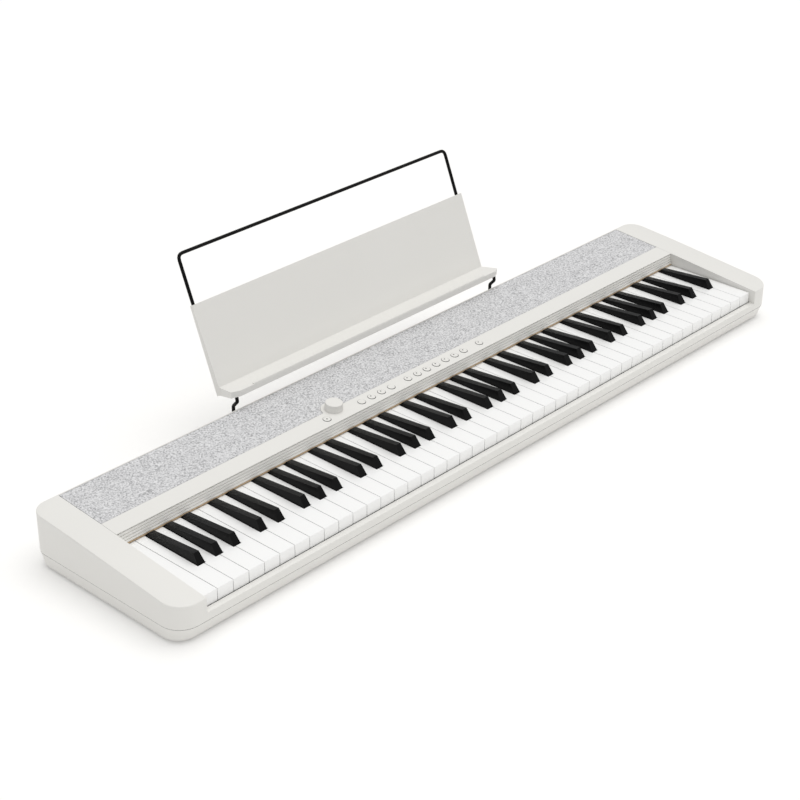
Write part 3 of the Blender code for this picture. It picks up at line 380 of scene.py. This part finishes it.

# ------------------------------------------------------------------ felt and ribbed face
# A strip of tan woven felt closes the gap over the keys. The ribbed face above it is a white
# extrusion with four ribs whose edges are only just broken; its white is lighter than the case's as
# painted light.


def felt_material():
    """Tan felt: matted fibres in two sizes."""
    made = bpy.data.materials.new("tan_felt")
    made.use_nodes = True
    nodes, links = made.node_tree.nodes, made.node_tree.links
    shader = nodes["Principled BSDF"]
    shader.inputs["Roughness"].default_value = 0.95
    shader.inputs["Sheen Weight"].default_value = 0.3
    place = nodes.new("ShaderNodeTexCoord")
    fibres = nodes.new("ShaderNodeTexNoise")
    fibres.inputs["Scale"].default_value = 1500.0
    fibres.inputs["Detail"].default_value = 4.0
    tone = nodes.new("ShaderNodeValToRGB")
    tone.color_ramp.elements[0].position = 0.3
    tone.color_ramp.elements[0].color = (0.36, 0.24, 0.13, 1.0)
    tone.color_ramp.elements[1].position = 0.7
    tone.color_ramp.elements[1].color = (0.66, 0.50, 0.32, 1.0)
    bump = nodes.new("ShaderNodeBump")
    bump.inputs["Distance"].default_value = 0.1 * MM
    links.new(place.outputs["Object"], fibres.inputs["Vector"])
    links.new(fibres.outputs["Fac"], tone.inputs["Fac"])
    links.new(tone.outputs["Color"], shader.inputs["Base Color"])
    links.new(fibres.outputs["Fac"], bump.inputs["Height"])
    links.new(bump.outputs["Normal"], shader.inputs["Normal"])
    return made


softened("key_felt", felt_material(), "case", 0.3 * MM)
# Lighter white than the case material: painted light for the brightness the ribs catch.
rib_lit_white = moulded("rib_white_abs_lit", (0.93, 0.92, 0.885), 0.42)
softened("rib_trim", rib_lit_white, "case", 0.25 * MM)

# ------------------------------------------------------------------ control strip
# A thin white moulding flush with the cheeks, with a round collar under the volume dial.  The
# dial's steel shaft comes up through it from the potentiometer below.
softened("control_panel", case_white, "case", 0.3 * MM)
coat_packed("volume_pot", metal("turned_steel", (0.55, 0.55, 0.56), 0.3))

strip_slope = math.atan(0.0962)


def stand_on_strip(cage, node, rise=0.0):
    """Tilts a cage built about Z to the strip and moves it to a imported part's crown."""
    low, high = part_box(node)
    lift = Vector((0, -math.sin(strip_slope), math.cos(strip_slope)))
    upright = (high.z - low.z) - (high.x - low.x) * math.sin(strip_slope)
    half_tall = upright / math.cos(strip_slope) / 2
    middle = (low + high) / 2 + lift * (half_tall + rise)
    tilt = Matrix.Rotation(strip_slope, 3, "X")
    bmesh.ops.rotate(cage, cent=(0, 0, 0), matrix=tilt, verts=cage.verts)
    bmesh.ops.translate(cage, vec=middle, verts=cage.verts)
    return cage


# ------------------------------------------------------------------ push buttons
# Thirteen round caps moulded in warm white over a carrier coloured dark grey as painted shade: it shows
# as a thin dark line round each cap in place of the shadow in the gap. A speck of grey lacquer above the
# middle marks most of them.
# Dark grey carrier colour: painted shade for the gap round each button cap.
carrier_gap_shade_grey = moulded("carrier_gap_shade_grey", (0.16, 0.16, 0.155), 0.6)
# Dark grey for the printed marks on the buttons; the same material is also painted shade in the ring
# round the dial's foot.
mark_and_gap_shade_dark = moulded("mark_and_gap_shade_dark", (0.03, 0.03, 0.03), 0.5)
BUTTON_RADIUS, FLANGE_RADIUS, FLANGE_TALL = 5.3 * MM, 6.4 * MM, 1.1 * MM
CARRIER_BOTTOM, CARRIER_TOP = -4.65 * MM, -0.12 * MM


def button_cage():
    """The carrier, dark grey as painted gap shade: a flange and a neck with a flat crown that the cap
    sits on.
    """
    step = CARRIER_BOTTOM + FLANGE_TALL
    return turned_cage([(0, CARRIER_BOTTOM), (FLANGE_RADIUS, CARRIER_BOTTOM), (FLANGE_RADIUS, step),
                        (BUTTON_RADIUS, step), (BUTTON_RADIUS, -0.28 * MM),
                        (BUTTON_RADIUS - 0.3 * MM, CARRIER_TOP), (0, CARRIER_TOP)], 48)


def cap_cage():
    """The white cap: a shallow dish with a rolled rim, on top of the carrier."""
    rim = BUTTON_RADIUS - 0.42 * MM
    return turned_cage([(0, CARRIER_TOP), (rim, CARRIER_TOP), (rim, -0.08 * MM), (rim - 0.25 * MM, 0),
                        (rim - 0.7 * MM, 0), (rim - 2.2 * MM, -0.06 * MM), (0, -0.08 * MM)], 48)


unmarked = {1, 4}
for number in range(13):
    node = "button_%02d" % number if number else "power_button"
    neck = stand_on_strip(button_cage(), node)
    shaded_carrier = new_piece(node + "_shaded_carrier", neck, carrier_gap_shade_grey, node)
    crown = stand_on_strip(cap_cage(), node)
    new_piece(node + "_cap", crown, case_white, node)
    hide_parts(node)
    if number in unmarked:
        continue
    dot = turned_cage([(0, -0.10 * MM), (1.05 * MM, -0.10 * MM), (1.0 * MM, -0.01 * MM), (0, 0)], 16)
    bmesh.ops.translate(dot, vec=(0, 1.5 * MM if number else 0.0, 0), verts=dot.verts)
    new_piece(node + "_mark", stand_on_strip(dot, node), mark_and_gap_shade_dark, node)

# ------------------------------------------------------------------ volume dial
# A turned-looking cap in warm white with seventy-two shallow flutes round its side and a flat,
# faintly dished top. It stands in the collar with a thin dark ring round its foot, painted shadow of the
# gap.
DIAL_RADIUS, DIAL_TALL, FLUTES = 11.9 * MM, 9.85 * MM, 72
DIAL_SKIRT, FLUTE_DEPTH = 0.6 * MM, 0.022


def dial_cage():
    """A cone with a flute between each pair of ridges, a rounded shoulder and a dished top."""
    cage = bmesh.new()
    bmesh.ops.create_circle(cage, cap_ends=True, segments=2 * FLUTES, radius=DIAL_RADIUS)
    ring = list(cage.faces)
    crown = DIAL_RADIUS - 0.5 * MM
    steps = ((DIAL_RADIUS - 0.04 * MM, DIAL_SKIRT), (crown + 0.05 * MM, DIAL_TALL - 1.3 * MM),
             (crown - 0.15 * MM, DIAL_TALL - 0.6 * MM), (crown - 0.5 * MM, DIAL_TALL - 0.18 * MM),
             (crown - 1.1 * MM, DIAL_TALL), (crown - 2.6 * MM, DIAL_TALL - 0.12 * MM))
    for radius, height in steps:
        grown = bmesh.ops.extrude_face_region(cage, geom=ring)
        if height > DIAL_SKIRT:
            bmesh.ops.delete(cage, geom=ring, context="FACES_ONLY")
        ring = [part for part in grown["geom"] if isinstance(part, bmesh.types.BMFace)]
        for point in {vert for face in ring for vert in face.verts}:
            turn = math.atan2(point.co.y, point.co.x)
            point.co = (radius * math.cos(turn), radius * math.sin(turn), height)
    for point in cage.verts:
        step = round(math.atan2(point.co.y, point.co.x) / math.tau * 2 * FLUTES)
        if step % 2 and 0.5 * MM < point.co.z < DIAL_TALL - 0.5 * MM:
            point.co.x *= 1 - FLUTE_DEPTH
            point.co.y *= 1 - FLUTE_DEPTH
    bmesh.ops.recalc_face_normals(cage, faces=cage.faces)
    bmesh.ops.translate(cage, vec=(0, 0, -DIAL_TALL), verts=cage.verts)
    return cage


knob = stand_on_strip(dial_cage(), "volume_dial")
dial = new_piece("volume_dial_cap", knob, case_white, "volume_dial")
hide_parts("volume_dial")
# A thin dark ring laid on the collar: painted shadow of the gap round the dial's foot.
inner, outer, thick = 12.1 * MM, 13.9 * MM, 0.06 * MM
gap_shadow_ring = turned_cage([(inner, 0.0), (outer, 0.0), (outer, thick), (inner, thick), (inner, 0.0)], 64)
stand_on_strip(gap_shadow_ring, "volume_dial", -10.19 * MM)
new_piece("dial_gap_shadow", gap_shadow_ring, mark_and_gap_shade_dark, "case")

# ------------------------------------------------------------------ indicator dots
# Five tiny lamps stand in a row to the right of the last button.  They are dull grey while they
# are off.
lamp_grey = moulded("lamp_grey", (0.14, 0.14, 0.135), 0.3)
LAMP_FIRST, LAMP_PITCH = 17.6, 16.0
for number in range(5):
    lamp = turned_cage([(0, -0.1 * MM), (0.95 * MM, -0.1 * MM), (0.9 * MM, 0.03 * MM), (0, 0.1 * MM)], 16)
    reach = (LAMP_FIRST + LAMP_PITCH * number) * MM
    bmesh.ops.translate(lamp, vec=(reach, -0.7 * MM, -0.7 * MM), verts=lamp.verts)
    stand_on_strip(lamp, "button_12")
    new_piece("indicator_%d" % (number + 1), lamp, lamp_grey, "case")

# ------------------------------------------------------------------ speaker cloth
# Melange polyester is stretched over the grille and tucked in at its edges.  It fills the strip
# between the two cheeks, behind the control strip.


def melange():
    """Heathered plain weave: white yarns flecked with grey ones, with soft clouds of both."""
    made = bpy.data.materials.new("melange_cloth")
    made.use_nodes = True
    nodes, links = made.node_tree.nodes, made.node_tree.links
    shader = nodes["Principled BSDF"]
    shader.inputs["Roughness"].default_value = 0.95
    shader.inputs["Specular IOR Level"].default_value = 0.2
    shader.inputs["Sheen Weight"].default_value = 0.1
    place = nodes.new("ShaderNodeTexCoord")
    clouds = nodes.new("ShaderNodeTexNoise")
    clouds.inputs["Scale"].default_value = 60.0
    clouds.inputs["Detail"].default_value = 2.0
    specks = nodes.new("ShaderNodeTexNoise")
    specks.inputs["Scale"].default_value = 430.0
    specks.inputs["Detail"].default_value = 3.0
    specks.inputs["Roughness"].default_value = 0.65
    both = nodes.new("ShaderNodeMix")
    both.data_type = "FLOAT"
    both.inputs["Factor"].default_value = 0.88
    tone = nodes.new("ShaderNodeValToRGB")
    tone.color_ramp.elements[0].position = 0.36
    tone.color_ramp.elements[0].color = (0.32, 0.32, 0.33, 1.0)
    tone.color_ramp.elements[1].position = 0.60
    tone.color_ramp.elements[1].color = (0.80, 0.80, 0.81, 1.0)
    body = tone.color_ramp.elements.new(0.47)
    body.color = (0.60, 0.60, 0.61, 1.0)
    warp = nodes.new("ShaderNodeTexWave")
    warp.inputs["Scale"].default_value = 420.0
    warp.inputs["Distortion"].default_value = 1.0
    weft = nodes.new("ShaderNodeTexWave")
    weft.bands_direction = "Y"
    weft.inputs["Scale"].default_value = 420.0
    weft.inputs["Distortion"].default_value = 1.0
    crossed = nodes.new("ShaderNodeMath")
    crossed.operation = "MAXIMUM"
    bump = nodes.new("ShaderNodeBump")
    bump.inputs["Distance"].default_value = 0.12 * MM
    for texture in (clouds, specks, warp, weft):
        links.new(place.outputs["Object"], texture.inputs["Vector"])
    links.new(clouds.outputs["Fac"], both.inputs[2])
    links.new(specks.outputs["Fac"], both.inputs[3])
    links.new(both.outputs[0], tone.inputs["Fac"])
    links.new(tone.outputs["Color"], shader.inputs["Base Color"])
    links.new(warp.outputs["Fac"], crossed.inputs[0])
    links.new(weft.outputs["Fac"], crossed.inputs[1])
    links.new(crossed.outputs["Value"], bump.inputs["Height"])
    links.new(bump.outputs["Normal"], shader.inputs["Normal"])
    return made


cloth = softened("speaker_cloth", melange(), "case", 0.35 * MM)

# ------------------------------------------------------------------ music rest
# A bent wire in black lacquer carries a white moulded plate with its shelf.  Its two ends drop
# into sockets on the back wall, and the whole rest lifts off.
softened("music_rest_plate", case_white, "music_rest", 0.5 * MM)
lacquer = moulded("black_lacquer", (0.0015, 0.0015, 0.0015), 0.35, scale=300.0, depth=0.01,
                  shine=0.12)
softened("music_rest_wire", lacquer, "music_rest", 0.0)
for side in ("left", "right"):
    softened("rest_socket_" + side, case_white, "case", 0.5 * MM)
